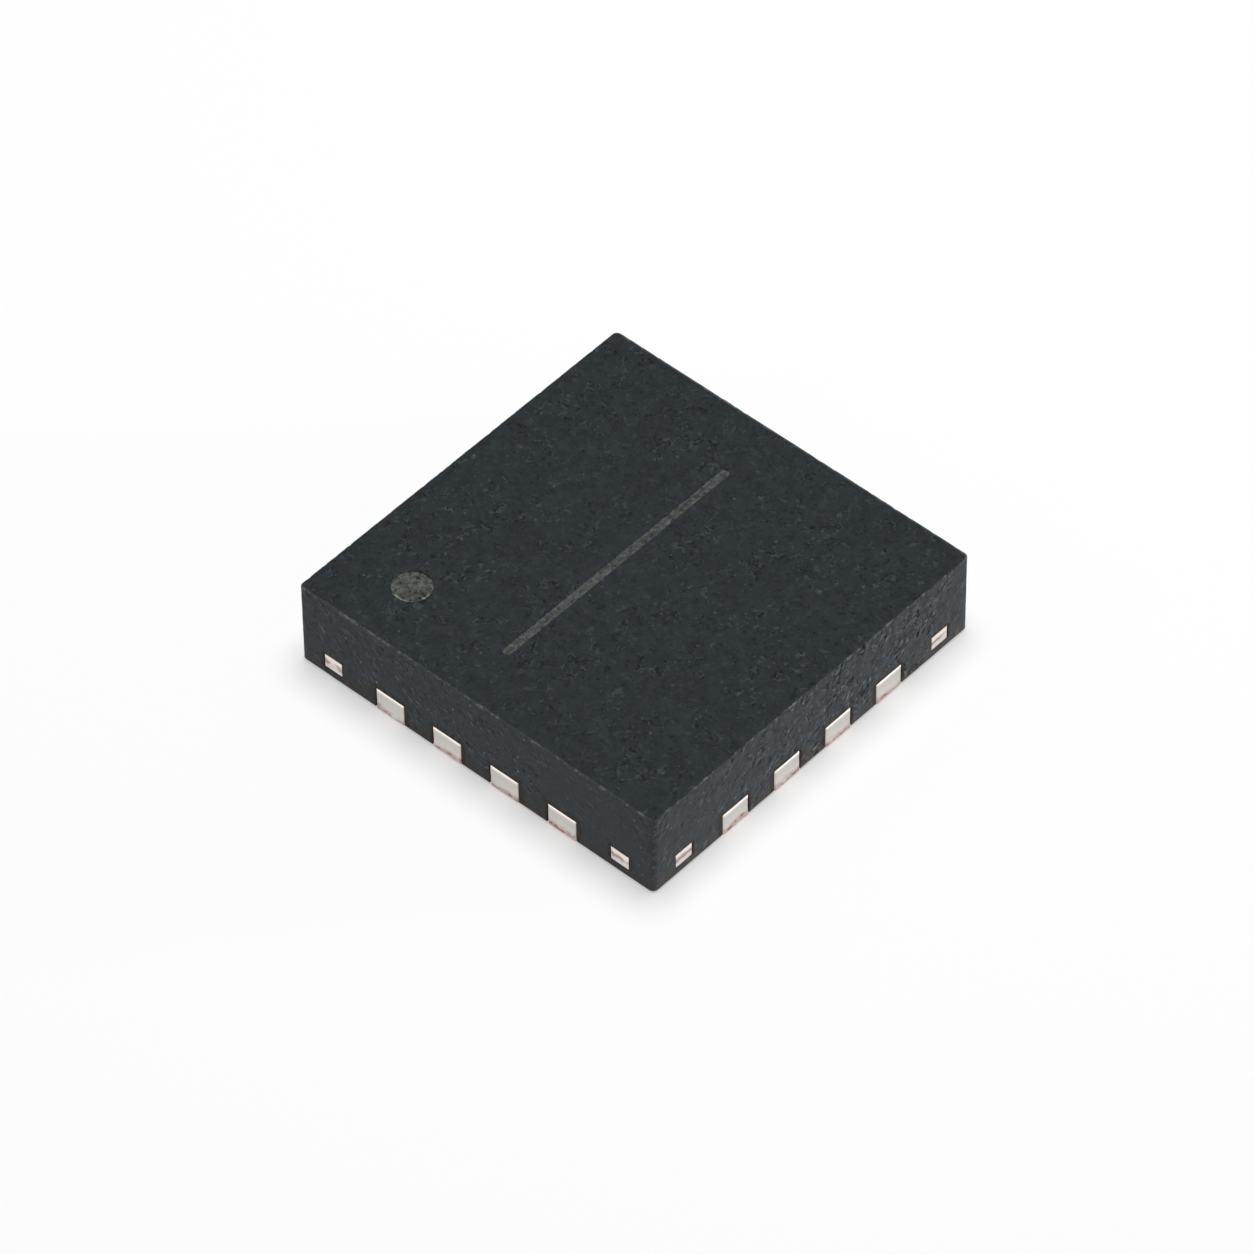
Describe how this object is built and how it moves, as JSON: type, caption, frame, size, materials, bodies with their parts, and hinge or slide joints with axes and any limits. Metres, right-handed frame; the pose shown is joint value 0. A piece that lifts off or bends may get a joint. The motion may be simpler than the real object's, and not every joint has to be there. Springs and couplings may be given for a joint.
{
  "type": "integrated circuit",
  "caption": "Square flat no-lead integrated circuit: dark moulded body with a lasered dot at one corner, sawn tinned leads flush along all sides, and an exposed solder pad beneath.",
  "frame": {"origin": "centre of the package's square outline, at the level of the solder lands it stands on", "axes": "+Z out of the top face; seen from above with +X to the right and +Y up, lead 1 and its dot are at the top left, and the leads count anticlockwise down the -X side first"},
  "size_m": [0.004, 0.004, 0.0009],
  "materials": {
    "mold_compound": "dark grey filled epoxy moulding compound, matt, sawn on its sides",
    "tinned_copper": "copper lead frame with matt tin plating, sawn at its ends",
    "die_adhesive": "silver-filled epoxy, cured",
    "silicon": "polished silicon with a passivated top",
    "gold_wire": "bright drawn gold wire"
  },
  "bodies": {
    "root": {"mold_body": "mold_compound", "die_pad": "tinned_copper", "die_attach": "die_adhesive", "die": "silicon", "lead_01": "tinned_copper", "lead_02": "tinned_copper", "lead_03": "tinned_copper", "lead_04": "tinned_copper", "lead_05": "tinned_copper", "lead_06": "tinned_copper", "lead_07": "tinned_copper", "lead_08": "tinned_copper", "lead_09": "tinned_copper", "lead_10": "tinned_copper", "lead_11": "tinned_copper", "lead_12": "tinned_copper", "lead_13": "tinned_copper", "lead_14": "tinned_copper", "lead_15": "tinned_copper", "lead_16": "tinned_copper", "bond_wire_01": "gold_wire", "bond_wire_02": "gold_wire", "bond_wire_03": "gold_wire", "bond_wire_04": "gold_wire", "bond_wire_05": "gold_wire", "bond_wire_06": "gold_wire", "bond_wire_07": "gold_wire", "bond_wire_08": "gold_wire", "bond_wire_09": "gold_wire", "bond_wire_10": "gold_wire", "bond_wire_11": "gold_wire", "bond_wire_12": "gold_wire", "bond_wire_13": "gold_wire", "bond_wire_14": "gold_wire", "bond_wire_15": "gold_wire", "bond_wire_16": "gold_wire"}
  },
  "joints": []
}
